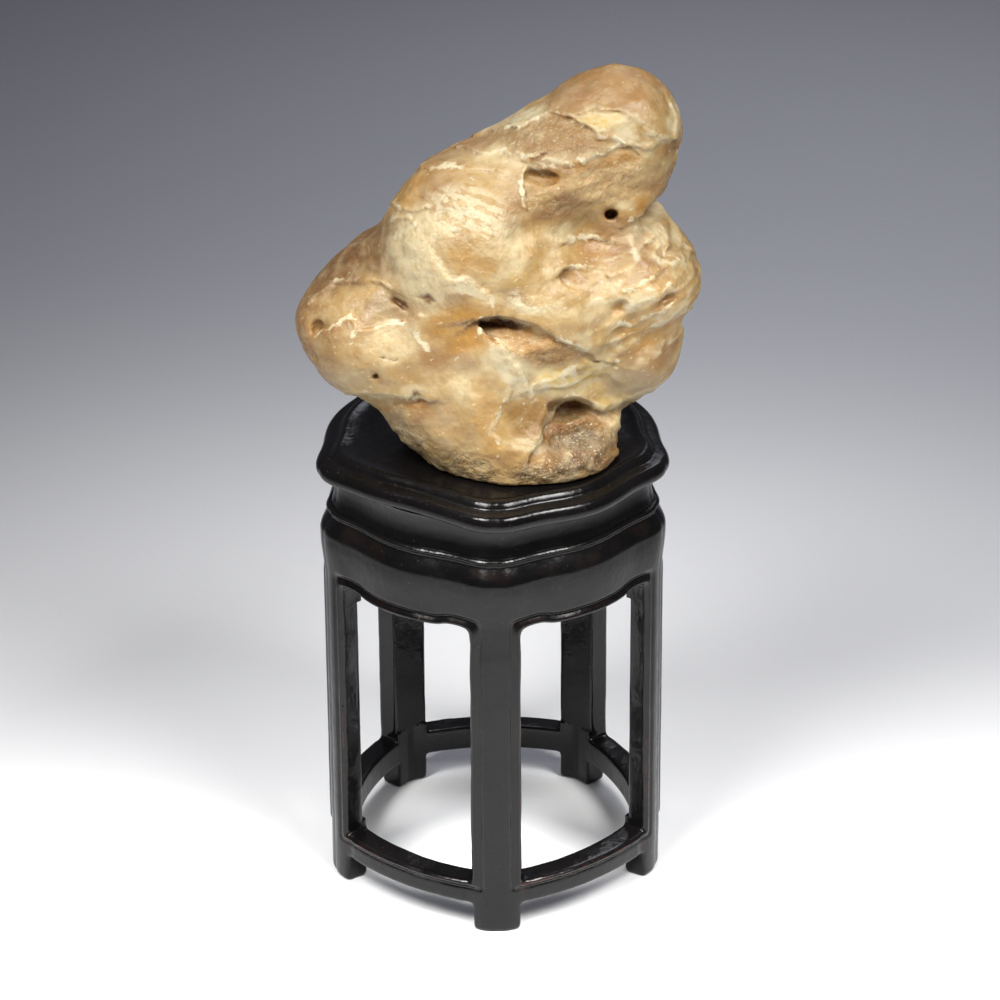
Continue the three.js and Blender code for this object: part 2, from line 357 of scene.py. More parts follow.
def frame_field(points):
    """The legs, aprons and stretchers all round, before they are told apart. Near and inside the
    wood it is about the distance to its surface: negative inside."""
    z = points[..., 2]
    angle = np.arctan2(points[..., 0], -points[..., 1])
    from_leg = from_nearest_leg(angle)
    s = np.abs(from_leg) * ARC_RADIUS
    reach = np.hypot(points[..., 0], points[..., 1])
    radius = reach / outline_share(angle)
    bowed = reach / stretcher_share(angle)
    # The knife's unevenness, then half a leg's width, a little less on its inside.
    carved = 0.16 * noise(points, 9.0, 91.3) + 0.07 * noise(points, 4.0, 97.7)
    half = LEG_HALF - 0.13 * (LEG_RADIUS - radius) + carved
    bay = smooth_max(half - s, z - apron_edge(s) - carved, BAY_CORNER)
    opening = smooth_max(bay, STRETCHER_TOP - z + carved, 0.5)
    below = smooth_max(half - 0.45 - s, z - STRETCHER_BOTTOM, 0.5)
    inset = np.minimum(opening, below)
    # A bead and a groove round each opening; the stretchers have none.
    bead = 0.75 * np.exp(-((opening - 0.95) / 0.85) ** 2) - 0.45 * np.exp(-((opening - 2.75) / 0.6) ** 2)
    bead = bead * np.clip((z - STRETCHER_TOP + 4.0) / 2.0, 0, 1)
    # The outer face is the legs', and turns into the stretchers' own off the legs.
    off_leg = np.clip((s - LEG_HALF) / 3.0, 0, 1) * (z < MIDDLE_HEIGHT)
    off_leg = off_leg * off_leg * (3 - 2 * off_leg)
    swell = (1 - off_leg) * (wall_radius(z) - radius) + off_leg * (STRETCHER_RADIUS - bowed)
    swell = swell + bead + 0.5 * carved
    leg_inner = reach * np.cos(from_leg) - (LEG_RADIUS - LEG_DEPTH)
    ring_inner = np.where(z > MIDDLE_HEIGHT, radius - (LEG_RADIUS - APRON_DEPTH),
                          bowed - (STRETCHER_RADIUS - STRETCHER_DEPTH))
    bare_leg = (z > STRETCHER_TOP + 3) & (z < APRON_EDGE - 6)
    thickest = np.where(s < LEG_HALF + 1.5, np.maximum(leg_inner, ring_inner), ring_inner)
    inner = np.where(bare_leg, leg_inner, thickest)
    solid = smooth_min(swell, inner, 0.35)
    solid = smooth_min(solid, inset, 0.35)
    solid = smooth_min(solid, FRIEZE_TOP - z, 0.2)
    solid = smooth_min(solid, z, 0.5)
    return -solid


def leg_planes(turn, side):
    """The joint planes on one side of a leg: below the mitre, and along it. Each is a point and
    a direction that points out of the leg."""
    rise = FRIEZE_TOP - MITRE_START
    run = LEG_HALF - MITRE_TOP_HALF
    spin = Matrix.Rotation(turn, 3, "Z")
    square = (spin @ Vector((side * LEG_HALF, 0, 0)), spin @ Vector((side, 0, 0)))
    mitre_out = spin @ Vector((side * rise, 0, run)).normalized()
    mitre = (spin @ Vector((side * LEG_HALF, 0, MITRE_START)), mitre_out)
    return square, mitre


def split_along(work, plane, chosen):
    """Cuts the chosen faces of a mesh along a plane, and keeps both sides."""
    faces = [f for f in work.faces if chosen(f.calc_center_median())]
    edges = dict.fromkeys(e for f in faces for e in f.edges)
    corners = dict.fromkeys(v for f in faces for v in f.verts)
    bmesh.ops.bisect_plane(work, geom=[*corners, *edges, *faces], dist=1e-5, plane_co=plane[0],
                           plane_no=plane[1])


def frame_piece(name, source, wanted, field):
    """The wanted faces of a cut mesh as a piece of its own, closed at its joints."""
    work = source.copy()
    others = [f for f in work.faces if not wanted(f.calc_center_median())]
    bmesh.ops.delete(work, geom=others, context="FACES")
    open_edges = [e for e in work.edges if e.is_boundary]
    caps = set(bmesh.ops.edgeloop_fill(work, edges=open_edges)["faces"])
    for face in work.faces:
        face.smooth = face not in caps
    for cap in caps:
        start = cap.loops[0]
        if start.link_loop_radial_next.vert == start.vert:
            cap.normal_flip()
    mesh = bpy.data.meshes.new(name)
    work.to_mesh(mesh)
    work.free()
    places = np.empty((len(mesh.vertices), 3))
    mesh.vertices.foreach_get("co", places.ravel())
    slope = gradient(field, places, 0.1)
    slope /= np.linalg.norm(slope, axis=-1, keepdims=True)
    wear = np.clip((field(places + slope * 0.8) - 0.8) * 2.0, 0, 1)
    corner = np.empty(len(mesh.loops), int)
    mesh.loops.foreach_get("vertex_index", corner)
    normals = slope[corner]
    for polygon in mesh.polygons:
        if not polygon.use_smooth:
            normals[polygon.loop_start:polygon.loop_start + polygon.loop_total] = polygon.normal
    mesh.normals_split_custom_set(normals.tolist())
    mesh.attributes.new("wear", "FLOAT", "POINT").data.foreach_set("value", wear)
    mesh.transform(Matrix.Scale(MM, 4) @ Matrix.Translation(Vector(AXIS)))
    return add_object(name, mesh)


def is_high(place):
    return place.z > MIDDLE_HEIGHT


def is_low(place):
    return not is_high(place)


def cut_bay(field):
    """The surface of the front leg and the bay to its right, cut at its joints, and their planes:
    on the leg's left, on its right, and on the next leg's left."""
    points, quads = surface_of(field, (-13, -54, -1), (52, 1, FRIEZE_TOP + 1), FRAME_STEP)
    work = bmesh.new()
    mesh = bpy.data.meshes.new("cut")
    mesh.from_pydata(points.tolist(), [], quads.tolist())
    work.from_mesh(mesh)
    bpy.data.meshes.remove(mesh)
    joints = [leg_planes(0, -1), leg_planes(0, 1), leg_planes(2 * HALF_SIDE, -1)]
    for _, mitre in joints:
        split_along(work, mitre, is_high)
    for square, _ in joints:
        split_along(work, square, is_low)
    return work, joints


def leg_and_bay(number):
    """A leg, with the apron and the stretcher to its right, cut from the frame's surface."""
    turn = 2 * HALF_SIDE * (number - 1)
    spin = Matrix.Rotation(turn, 4, "Z")

    def local(points):
        return frame_field(turned(points, -turn))

    work, (left, right, following) = cut_bay(local)

    def past(joint, place):
        square, mitre = joint
        spot, outwards = mitre if is_high(place) else square
        return (place - spot).dot(outwards) > 0

    def in_leg(place):
        return not past(left, place) and not past(right, place) and place.y < -30

    def in_bay(place):
        return past(right, place) and past(following, place)

    wanted = {f"leg_{number}": in_leg,
              f"apron_{number}": lambda place: in_bay(place) and is_high(place),
              f"stretcher_{number}": lambda place: in_bay(place) and is_low(place)}
    centre = Vector(AXIS) * MM
    pieces = {}
    for name, want in wanted.items():
        pieces[name] = frame_piece(name + "_wood", work, want, local)
        pieces[name].data.transform(Matrix.Translation(centre) @ spin @ Matrix.Translation(-centre))
    work.free()
    return pieces


# ---- the stone's broad shape
# Stone places are in millimetres from the middle of its foot, on the slab: right, back and up.
STONE_RIGHT = 1.0
STONE_ORIGIN = AXIS + np.array([STONE_RIGHT, 0.0, STAND_TOP])
STONE_BLEND = 4.0
HOLLOW_BLEND = 1.5
STONE_STEP = 0.74  # the stone's mesh size
STONE_LIFT = 0.3  # the gap under its foot

MASSES = [
    # middle, half sizes, lean in degrees
    ([4, -1, 40], [35, 33, 30], 0),  # heart
    ([-30, -5, 32], [26, 24, 18], -14),  # left belly
    ([-27, 3, 47], [25, 23, 13], 33),  # left slope
    ([-7, -5, 62], [22.5, 26, 24], 0),  # shoulder
    ([13, 4, 79], [25, 22, 15], 32),  # neck
    ([35, 7, 88], [18, 18, 18.5], 0),  # head
    ([35, 4, 70], [13, 15, 10], 0),  # throat
    ([38, 0, 49], [20, 23, 14], -8),  # right bulge
    ([35.5, 2, 26.5], [17.5, 22, 14.5], 4),  # lower right bulge
    ([-8.2, -9, 18.4], [24.2, 25, 21.6], -18),  # front belly
    ([9.3, -12.5, 4.5], [27.2, 25.2, 18], 0),  # base
]
HOLLOWS = [
    ([22, -27, 75], [18, 7, 5], 14),  # ledge under the head
    ([21, -38, 31], [15, 8, 7], -22),  # hollow under the long crevice
    ([26, -36, 12], [12, 10, 5], 0),  # cavern above the base
    ([51, 2, 69.5], [11.4, 26, 3.2], 12),  # notch in the right edge
    ([39, -12, 6.4], [8.5, 15, 2.6], 24),  # cleft right of the base
]


def cos_sin(degrees):
    return math.cos(math.radians(degrees)), math.sin(math.radians(degrees))


def ellipsoid(points, middle, sizes, lean):
    """Distance, near enough, outside an ellipsoid leaning in the right-up plane."""
    p = points - np.array(middle, float)
    c, s = cos_sin(lean)
    x = c * p[..., 0] + s * p[..., 2]
    z = c * p[..., 2] - s * p[..., 0]
    a = np.sqrt((x / sizes[0]) ** 2 + (p[..., 1] / sizes[1]) ** 2 + (z / sizes[2]) ** 2) + 1e-6
    b = np.sqrt((x / sizes[0] ** 2) ** 2 + (p[..., 1] / sizes[1] ** 2) ** 2 + (z / sizes[2] ** 2) ** 2) + 1e-6
    return a * (a - 1) / b


def broad_stone(points):
    total = 0.0
    for middle, sizes, lean in MASSES:
        total = total + np.exp(-np.minimum(ellipsoid(points, middle, sizes, lean), 60) / STONE_BLEND)
    value = -STONE_BLEND * np.log(total)
    for middle, sizes, lean in HOLLOWS:
        value = smooth_max(value, -ellipsoid(points, middle, sizes, lean), HOLLOW_BLEND)
    return value


# ---- the show face
# The stone's show face leans back. Its features are placed across it and up it, in millimetres
# from its middle, as somebody a little over a metre away would see them.
SHOW_LEAN = math.radians(27.4)
SHOW_MIDDLE = np.array([0.7, -5.0, 45.5])
SHOW_DISTANCE = 1216.0
ACROSS = np.array([1.0, 0.0, 0.0])
RISE = np.array([0.0, math.sin(SHOW_LEAN), math.cos(SHOW_LEAN)])
TOWARDS = np.array([0.0, -math.cos(SHOW_LEAN), math.sin(SHOW_LEAN)])


def on_show_face(points):
    """How far across and up the show face points are seen, and how far in front of it they are."""
    p = points - SHOW_MIDDLE
    depth = p @ TOWARDS
    scale = SHOW_DISTANCE / (SHOW_DISTANCE - depth)
    return p @ ACROSS * scale, p @ RISE * scale, depth


def place_at(across, rise, depth):
    scale = (SHOW_DISTANCE - depth) / SHOW_DISTANCE
    return SHOW_MIDDLE + ACROSS * (across * scale) + RISE * (rise * scale) + TOWARDS * depth


def find_front(field, across, rise):
    """The front surface's place behind a spot on the show face."""
    depth = 60.0
    for _ in range(80):
        value = float(field(place_at(across, rise, depth)[None])[0])
        if value < 0.02:
            break
        depth -= 0.6 * value
    return place_at(across, rise, depth)


# Each pocket: where it is across and up, half its length, height and depth, its slope in degrees,
# and how far its middle lies behind the surface.
POCKETS = [
    ("long crevice, dark end", 3.5, -10.3, 7.0, 0.6, 3.4, -10, 1.0),
    ("long crevice, far end", 12.5, -13.2, 7.0, 0.5, 1.4, -22, 0.4),
    ("rough hollow under it", 9.0, -15.0, 12.0, 4.2, 2.6, -17, 0.4),
    ("round hole", 31.9, 20.2, 1.45, 0.95, 4.0, -6, 1.5),
    ("ochre hollow", 12.0, 30.4, 4.6, 1.5, 3.0, -10, 0.8),
    ("belly pit", -50.7, -10.3, 1.4, 2.0, 3.2, 10, 0.9),
    ("pin hole", -51.3, -18.4, 0.5, 0.5, 1.5, 0, 0.4),
    ("left crack", -27.6, -4.0, 2.5, 0.5, 2.2, -36, 0.5),
    ("middle crack", -20.6, -2.7, 2.5, 0.5, 2.2, -8, 0.5),
    ("pit row, left", -32.0, -19.2, 1.6, 0.6, 1.8, -10, 0.4),
    ("pit row, right", -29.0, -19.6, 1.2, 0.6, 1.8, 0, 0.4),
    ("low pit", -34.3, -24.0, 0.6, 0.6, 1.6, 0, 0.4),
    ("ochre pit", -23.1, -30.0, 1.3, 1.2, 2.2, 0, 0.4),
    ("shallow lens", 21.2, 2.0, 4.2, 3.2, 1.5, -15, 0.1),
    ("right lens pit", 34.0, -5.9, 2.4, 1.5, 1.8, 20, 0.2),
    ("far right lens pit", 48.4, -3.0, 2.8, 1.3, 1.8, 22, 0.2),
    ("cavern roof", 20.5, -33.3, 6.5, 2.2, 6.5, 4, 1.5),
    ("cavern side", 14.5, -37.5, 3.4, 1.8, 3.0, 52, 0.5),
    ("cavern, dark corner", 17.2, -34.2, 1.6, 1.0, 3.0, 30, 0.6),
]


def pocket_spaces():
    """The pockets' middles, axes and half sizes, each placed on the broad stone's front."""
    spaces = []
    for _, across, rise, length, height, depth, slope, behind in POCKETS:
        c, s = cos_sin(slope)
        axes = np.array([ACROSS * c + RISE * s, TOWARDS, RISE * c - ACROSS * s])
        middle = find_front(broad_stone, across, rise) - TOWARDS * behind
        spaces.append((middle, axes, np.array([length, depth, height])))
    return spaces


SPACES = pocket_spaces()


def carved_stone(points):
    """The broad stone with its pockets cut out."""
    value = broad_stone(points)
    for middle, axes, sizes in SPACES:
        offset = points - middle
        near = np.abs(offset).max(-1) < sizes.max() + 2.0
        if near.any():
            local = offset[near] @ axes.T
            a = np.sqrt(((local / sizes) ** 2).sum(-1)) + 1e-6
            b = np.sqrt(((local / sizes ** 2) ** 2).sum(-1)) + 1e-6
            value[near] = smooth_max(value[near], -a * (a - 1) / b, 0.35)
    return value


# ---- broken edges of the skin
# Each edge: its points across and up the show face, how far the skin drops on its right-hand
# side when walking along it (negative: on its left), how far the drop takes to fade, and its lip.
EDGES = [
    ("skin above the left patch", [(-52, -4), (-50.4, -1.4), (-46, 1.9), (-39, 2.3), (-32.6, 1.9),
     (-29, -0.5)], 0.5, 8, 0.4),
    ("belly below the left patch", [(-49, -11), (-47.4, -9.7), (-41.5, -6.6), (-39.8, -8.4), (-37.6, -11.1),
     (-34.3, -10.6), (-27.9, -9.2)], -0.8, 7, 0.35),
    ("branch on the belly", [(-39.8, -8.4), (-40.4, -11), (-41, -15)], 0, 4, 0.3),
    ("middle block's edge", [(-15.5, 5), (-14, 2.4), (-9.2, 1.7), (-4.7, 0), (-1.6, -1.9), (-1.4, -8.4),
     (-5.8, -9.2)], -0.9, 8, 0.2),
    ("upper tear on the shoulder", [(-29, 24), (-25.6, 21.8), (-20.1, 21.6)], 0.5, 3, 0.45),
    ("lower tear on the shoulder", [(-29, 18.7), (-25, 19.6), (-23.3, 17.6), (-28.5, 15.2)], 0.3, 3, 0.4),
    ("line along the shoulder", [(-22.5, 34), (-17.6, 34.3), (-14, 33.1), (-8.4, 33.7),
     (-3, 32.5)], 0.6, 7, 0.15),
    ("upper shoulder line", [(-10, 39.5), (-4.2, 37.2), (0, 37.4), (6, 36.6), (9, 34)], 0.6, 4, 0.2),
    ("head ridge", [(3, 44.5), (9, 45.5), (13.5, 47.5), (15.9, 48.6), (20.2, 47.3), (23.9, 45),
     (26.5, 43.6), (29, 41.3), (33, 40.3), (35.6, 39)], 0.6, 12, 0.5),
    ("ridge below the wedge", [(49, 40.5), (42, 38.6), (35.6, 39), (32.4, 37.1), (27.3, 35.7), (24.5, 34.2),
     (19.6, 33.2), (14, 34.2)], -0.7, 8, 0.45),
    ("upright ridge", [(13.5, 36.8), (9.2, 36.4), (7.6, 31.8), (7.9, 26.7), (8.9, 21.9)], -0.55, 7, 0.6),
    ("wavy line on the right", [(19, 11.8), (21.6, 12.7), (24.8, 13.4), (27.4, 13.1),
     (32.8, 12.4)], 0.4, 5, 0.15),
    ("lens upper rim", [(16.5, 3), (18.1, 4.7), (20.5, 5.6), (24.8, 4.6), (29.3, 4.8),
     (30.5, 3.2)], 0.7, 4, 0.2),
    ("lip over the cavern", [(10.5, -44), (13, -38.4), (17.1, -32.6), (21.4, -30.9), (26.1, -33.2),
     (30, -33.4), (36.7, -30.5)], 2.0, 9, 0.3),
    ("lip under the belly", [(-41, -28.6), (-37.6, -29), (-32.6, -29.6), (-27, -30.6),
     (-22, -31)], 1.6, 5, 0.3),
    ("yellow band's upper edge", [(10, -26.5), (15, -25), (21, -22.4), (27, -20.6),
     (33, -19.6)], -0.35, 5, 0.2),
    ("yellow band's lower edge", [(11, -29), (18, -28), (25, -25), (31, -22)], 0.3, 5, 0.15),
    ("crevice's upper lip", [(-6, -9.6), (-4.7, -8.8), (0, -8.4), (7, -10.2), (13.9, -13.4), (19, -16.2),
     (24, -18.2)], 1.6, 5, 0.35),
    ("rib down from the crevice", [(-3.6, -12.5), (1, -16), (4, -20.5), (8, -26.5),
     (10.5, -31)], -0.7, 5, 0.3),
    ("amber's left edge", [(2.2, -31.5), (0.4, -36), (-1.6, -40), (-0.5, -43)], -0.5, 4, 0.25),
    ("rim on the head's right edge", [(48.5, 51), (50.2, 46), (50.4, 42), (49.6, 38),
     (49.5, 34)], 0.5, 4, 0.25),
    ("cream chip's top", [(24.5, 48.1), (29, 49), (33.9, 48.5), (38.6, 46.5), (41, 43.4),
     (45.7, 41)], 0.7, 6, 0.2),
    ("lowest fold", [(32.4, -15.2), (41.7, -12.1), (49.6, -8.2), (53.5, -5.8)], 0.6, 4, 0.3),
    ("second fold", [(33.9, -11.3), (43.3, -8.2), (51.9, -3.5)], 0.4, 4, 0.3),
    ("lens pits' rim", [(34.7, -6.2), (41.7, -3.9), (44.9, -3.1), (49, -0.6)], 0.6, 3, 0.25),
    ("third fold", [(36.3, -1.9), (43.3, 2), (48, 5.1), (52, 8)], 0.4, 4, 0.3),
    ("upper lobe's rim", [(34.7, 16.8), (38.6, 19.6), (44, 19.2), (47.4, 16), (47.6, 12.1)], 0.4, 5, 0.25),
    ("inner rim", [(37, 15.3), (41.7, 16.8), (44.1, 12.9)], 0.3, 3, 0.2),
    ("crease between the lobes", [(46.4, 9), (49.6, 12.1), (53.9, 10.6)], 0.6, 3, 0.2),
    ("scratch", [(-23.8, -12), (-22, -15), (-20.6, -17)], 0, 3, 0.15),
]


def edge_distance(a, b, line):
    """Distance to a line on the show face, and which side: +1 on its left, -1 on its right."""
    best = np.full(a.shape, 1e9)
    side = np.ones(a.shape)
    line = np.array(line, float)
    for start, end in zip(line[:-1], line[1:]):
        along = end - start
        length = math.hypot(*along)
        unit = along / length
        da, db = a - start[0], b - start[1]
        t = np.clip((da * unit[0] + db * unit[1]) / length, 0, 1)
        distance = np.hypot(da - t * along[0], db - t * along[1])
        closer = distance < best - 1e-6
        best = np.where(closer, distance, best)
        side = np.where(closer, np.where(unit[0] * db - unit[1] * da > 0, 1.0, -1.0), side)
    return best, side


def front_share(depth):
    """1 on the front of the stone, 0 on its back."""
    return 1 / (1 + np.exp(-(depth + 15) / 2.0))


def edge_relief(a, b, front):
    """How far the broken edges lift or drop the skin, and the distance to the nearest edge."""
    relief = np.zeros(a.shape)
    nearest = np.full(a.shape, 9.0)
    for _, line, drop, fade, lip in EDGES:
        low, high = np.min(line, 0) - 2.5 * fade, np.max(line, 0) + 2.5 * fade
        near = (a > low[0]) & (a < high[0]) & (b > low[1]) & (b < high[1]) & (front > 0.02)
        if not near.any():
            continue
        distance, side = edge_distance(a[near], b[near], line)
        signed = -side * distance * (1 if drop >= 0 else -1)
        fall = 1 / (1 + np.exp(-signed / 0.28))
        relief[near] += front[near] * (lip * np.exp(-((signed + 0.5) / 0.6) ** 2)
                                       - abs(drop) * fall * np.exp(-distance / fade))
        nearest[near] = np.minimum(nearest[near], np.abs(signed + 0.45) + 9.0 * (1 - front[near]))
    return relief, nearest


# ---- patches of the surface
# Each patch: middle across and up, half sizes, slope, colour, how strongly it covers.
WAX = (206, 173, 118)
MILK = (255, 240, 204)
CREAM = (250, 236, 202)
FROST = (255, 247, 224)
AMBER = (212, 162, 84)
HONEY = (217, 186, 130)
SKIN = (172, 130, 90)
DARK_SKIN = (134, 101, 68)
OCHRE = (196, 138, 46)
RUST = (92, 40, 16)
PINK = (186, 148, 116)
BLUSH = (197, 153, 101)
# A warm tan, brightened as painted light where it lies in shade.
BUTTER_WITH_PAINTED_LIGHT = (250, 206, 132)
CLAY = (200, 152, 88)
GREY = (188, 168, 134)
STEEL = (110, 96, 74)
SAND = (174, 138, 97)
# Sand made paler than the stone is, where it lies in shade: painted light.
SAND_WITH_PAINTED_LIGHT = (242, 212, 164)
TOFFEE = (152, 114, 60)
MUD = (84, 56, 22)
# Yellow, made brighter to make up for the shade on the yellow band: partly painted light.
LEMON = (255, 228, 150)

PATCHES = [
    ("left slope", -42, 8, 15, 7, 32, DARK_SKIN, 0.95),
    ("left slope by the shoulder", -31, 9, 5.5, 7, 60, DARK_SKIN, 0.8),
    ("left edge", -54, -8, 4, 10, 10, SKIN, 0.8),
    ("milky middle", -21, 8, 8.5, 15, 12, MILK, 1.0),
    ("top of the shoulder", -9, 39, 13, 2.6, 20, SKIN, 0.8),
    ("shoulder's left edge", -26, 28, 4, 7, -25, AMBER, 0.6),
    ("honey band on the shoulder", -4, 31.5, 12, 3.2, -4, HONEY, 0.9),
    # Pale frosted stone, whose brightness also holds the sheen of the lights on it: partly painted sheen.
    ("frosted shoulder", -8, 20, 11, 8, -24, CREAM, 0.75),
    ("tan by the upright ridge", 6, 22, 4, 8, -15, SKIN, 0.55),
    ("tan under the frost", -8, 9.5, 10, 4.5, -8, WAX, 0.8),
    ("amber under the frost", -9, 5.5, 7, 4, -10, AMBER, 0.6),
    ("left patch", -43, -4, 8, 4.5, 14, HONEY, 0.75),
    # Painted light, with the folds' own warmer colour: the folds below the bulge lie in its shade and are
    # painted brighter.
    ("lower folds", 43, -7, 13, 8, 12, BUTTER_WITH_PAINTED_LIGHT, 0.75),
    ("left patch, milky end", -31, -4.5, 5.5, 4.5, 0, GREY, 0.85),
    ("belly", -36, -19, 13, 10, 0, HONEY, 0.6),
    ("belly, milky", -29, -15, 8, 6, 20, MILK, 0.6),
    ("belly's left", -50, -19, 5, 9, 20, SKIN, 0.55),
    ("big amber spot", -10, -11, 9, 6.5, -10, AMBER, 0.95),
    ("white band over the amber", -8, -0.8, 7, 2.4, -12, CREAM, 0.8),
    ("milky lower middle", -9, -26, 10, 7, 0, MILK, 0.25),
    ("amber stripe down", -3, -37, 3.5, 9, 10, AMBER, 0.65),
    ("honey above the foot", -13, -41, 8, 6, -20, HONEY, 0.6),
    ("orange amber", 8.5, -36.5, 5.5, 6, 20, TOFFEE, 0.95),
    ("pale rib", 2.5, -22, 3.2, 9, 32, CREAM, 0.75),
    # The yellow band is painted brighter than it is, against the shadow of the lip above: partly painted
    # light.
    ("yellow band", 22.5, -25.2, 12, 4.2, 17, LEMON, 1.0),
    ("yellow chip", 14, -23.6, 4, 2.2, 5, LEMON, 0.85),
    ("under the crevice", 13, -17.2, 13, 4.6, -16, CLAY, 0.9),
    ("crystal facet", 23.5, -40.5, 10.5, 6.5, 4, STEEL, 0.95),
    ("ochre foot", 17, -50, 13, 3.6, 12, MUD, 0.9),
    ("ochre foot, dark", 21.5, -46.8, 4, 1.2, 5, RUST, 0.5),
    # Painted light: the foot curves under into shade, and is painted paler.
    ("left foot", -10, -51.5, 13, 3.4, -16, SAND_WITH_PAINTED_LIGHT, 0.85),
    ("flank under the belly", -27, -40, 4, 9, 38, GREY, 0.9),
    ("grey translucent right", 36, -25, 6.5, 4.2, 18, GREY, 0.85),
    ("yellow block", 33, -33, 5, 4, 10, LEMON, 0.7),
    ("white above the foot", 7, -44, 7, 1.7, -2, CREAM, 0.5),
    ("head's skin", 34, 56, 16, 7, -6, BLUSH, 0.9),
    ("head's left", 20, 52, 9, 4, 30, PINK, 0.7),
    ("pale chip on the head", 29, 46, 6, 2.4, -6, LEMON, 0.85),
    ("cream chip on the head", 38, 43.5, 6, 3.6, -8, CREAM, 0.4),
    ("yellow in the chip", 29.5, 41.8, 2.6, 1.1, -20, OCHRE, 0.5),
    ("sandy wedge", 15, 41, 14, 6, -8, SAND, 0.85),
    # Painted light: the facet lies in the shade of the ledge above, and is painted paler.
    ("lower sandy facet", 31, 28.5, 11, 5, 8, SAND_WITH_PAINTED_LIGHT, 0.9),
    ("ochre under the ridge", 31, 34.2, 9, 1.5, 9, OCHRE, 0.75),
    ("ochre hollow", 12.3, 30.4, 4.4, 1.5, -8, OCHRE, 0.95),
    ("cream over the hollow", 13, 33.6, 4.5, 1.4, -8, CREAM, 0.8),
    ("chip on the neck", 9, 48, 5.5, 2.0, 24, CREAM, 0.9),
    ("yellow by the chip", 7, 46, 3, 1.0, 20, LEMON, 0.8),
    ("lens floor", 21, 2.4, 4.0, 3.0, -15, SKIN, 0.5),
    ("yellowish blotch", 43, 15, 6, 3.4, -12, MILK, 0.7),
    ("right edge", 51, 6, 4.5, 5, 0, HONEY, 0.8),
    ("frost over the crevice", 8, -4.6, 6.5, 2.6, -12, CREAM, 0.85),
    ("lens pit's floor", 34, -5.8, 2.2, 1.2, 20, AMBER, 0.8),
    ("far lens pit's floor", 48.4, -3, 2.6, 1.1, 22, OCHRE, 0.7),
    ("crevice", 2.5, -10.6, 5.5, 1.1, -12, RUST, 0.9),
    ("crevice's far end", 13, -13.8, 8, 1.3, -20, OCHRE, 0.9),
    ("hole", 31.5, 19.9, 1.8, 1.3, 0, RUST, 1.0),
    ("notch", 41, 23, 2.6, 2.4, 50, OCHRE, 0.8),
    ("cavern roof", 19, -32.8, 5, 1.8, 8, RUST, 0.55),
    ("left crack", -27.6, -4.0, 2.8, 0.7, -36, RUST, 0.9),
    ("middle crack", -20.6, -2.7, 2.8, 0.7, -8, RUST, 0.9),
    ("belly pit", -50.7, -10, 1.2, 1.9, 10, AMBER, 0.9),
    ("ochre pit", -23.1, -30, 1.2, 1.1, 0, OCHRE, 0.9),
    # Painted shadow, ochre-coloured, in the line under the belly's lip.
    ("under the belly", -30, -32.6, 5, 1.0, -6, OCHRE, 0.7),
]

FROSTED = {CREAM: 1.0, LEMON: 0.5, MILK: 0.45, HONEY: 0.15}  # how streaked with white each colour is
CREAM_PAINT = 0.3  # cream patches are mostly white streaks over the colour below

# Rough, frosted ground with painted glints, as patches without a colour.
GRAINY = [
    ("sandy wedge", 15, 41, 14, 6.5, -8, 0.9),
    ("lower facet", 31, 29, 11, 6, 8, 0.8),
    ("under the crevice", 10, -17, 11, 4, -14, 1.0),
    ("crystal facet", 23, -40, 11, 6, 4, 1.0),
    ("ochre foot", 17, -50, 14, 4, 12, 1.2),
    ("left foot", -10, -50.5, 13, 4, -16, 0.9),
    ("flank", -27, -40, 4.5, 9, 38, 0.9),
    ("frosted shoulder", -6, 19, 12, 7, -24, 0.5),
    ("frost over the crevice", 8, -4.6, 7, 3, -12, 0.6),
    ("right of the upright ridge", 15, 24, 8, 5, -10, 0.7),
]


def cover(a, b, middle_a, middle_b, half_a, half_b, slope):
    """A patch's cover: 1 inside, falling to 0 outside over about a third of its size."""
    c, s = cos_sin(slope)
    da, db = a - middle_a, b - middle_b
    u = (c * da + s * db) / half_a
    v = (c * db - s * da) / half_b
    return 1 / (1 + np.exp(np.minimum((u * u + v * v - 1.0) / 0.28, 700)))


def grain_amount(a, b, front, points):
    amount = 0.25 * np.clip(noise(points, 19.0, 40.3) - 0.05, 0, 1)
    for _, *patch, strength in GRAINY:
        amount = np.maximum(amount, strength * front * cover(a, b, *patch))
    return amount


def jitter(points):
    """A small wander of the show face's directions, so that edges and patches are ragged."""
    return (0.85 * layered_noise(points, 4.6, 2, 3.1), 0.85 * layered_noise(points, 4.6, 2, 23.7))


TORN_FROM = 0.34  # the skin is torn off where the noise is above this
TORN_DEPTH = 0.55


def torn_skin(points):
    """Broken sheets of skin all round the stone: how deep, and the distance to their edge."""
    over_edge = layered_noise(points * (1, 1, 1.35), 21.0, 3, 51.7) - TORN_FROM
    return TORN_DEPTH / (1 + np.exp(-over_edge / 0.018)), np.abs(over_edge) * 16


FOLD_SLOPE = 18
FOLD_HEIGHT = 0.28


def folds(points, a, b):
    """Streaks that run to the right and upwards, strongest on the right bulge."""
    amount = cover(a, b, 42, -3, 15, 17, 0) * 0.8 + 0.25
    c, s = cos_sin(FOLD_SLOPE)
    along = points[..., 0] * c + points[..., 2] * s
    over = points[..., 2] * c - points[..., 0] * s
    place = np.stack([along / 9.0, points[..., 1] / 8.0, over / 2.9], -1)
    broad = noise(place, 1.0, 71.3)
    return amount * (0.9 - 2.6 * np.abs(broad + 0.12) + 0.5 * noise(place, 0.45, 17.9))


